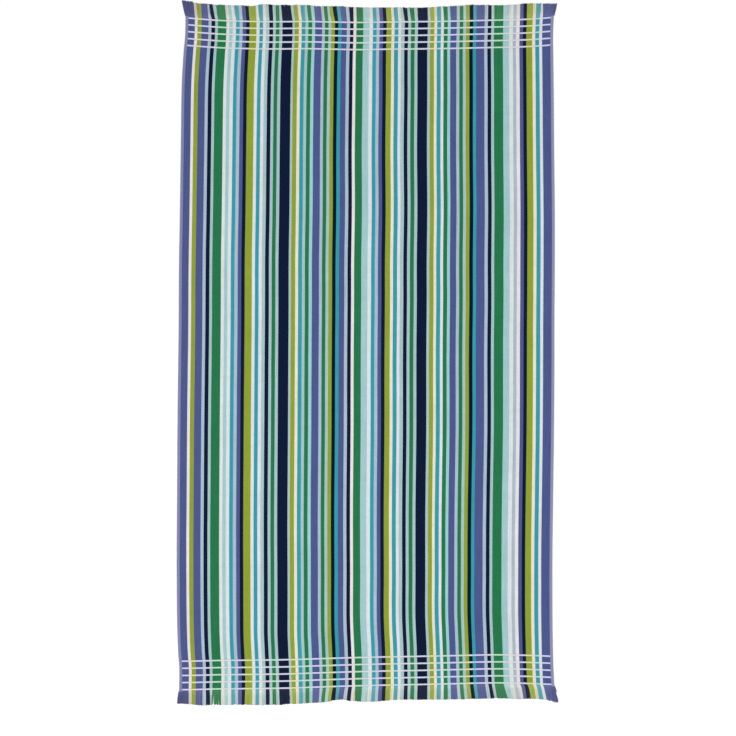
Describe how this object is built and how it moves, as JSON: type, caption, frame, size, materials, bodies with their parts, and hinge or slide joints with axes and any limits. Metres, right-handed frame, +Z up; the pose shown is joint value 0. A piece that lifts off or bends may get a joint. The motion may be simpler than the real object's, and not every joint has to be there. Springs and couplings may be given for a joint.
{
  "type": "beach towel",
  "caption": "Flat striped velour beach towel with cross lines and a short cut-yarn fringe at each end.",
  "frame": {"origin": "middle of the towel's footprint on the surface that it lies on", "axes": "+X across the towel, to the right in the picture; +Y along its length, to the picture's top end; +Z up out of its face"},
  "size_m": [0.9833, 1.82, 0.0056],
  "materials": {
    "velour": "cut-pile cotton velour in warp stripes of blues, greens and white",
    "fringe_yarn": "cut cotton warp yarns in the colours of the stripes"
  },
  "bodies": {
    "root": {"towel_cloth": "velour", "fringe_head": "fringe_yarn", "fringe_foot": "fringe_yarn"}
  },
  "joints": []
}
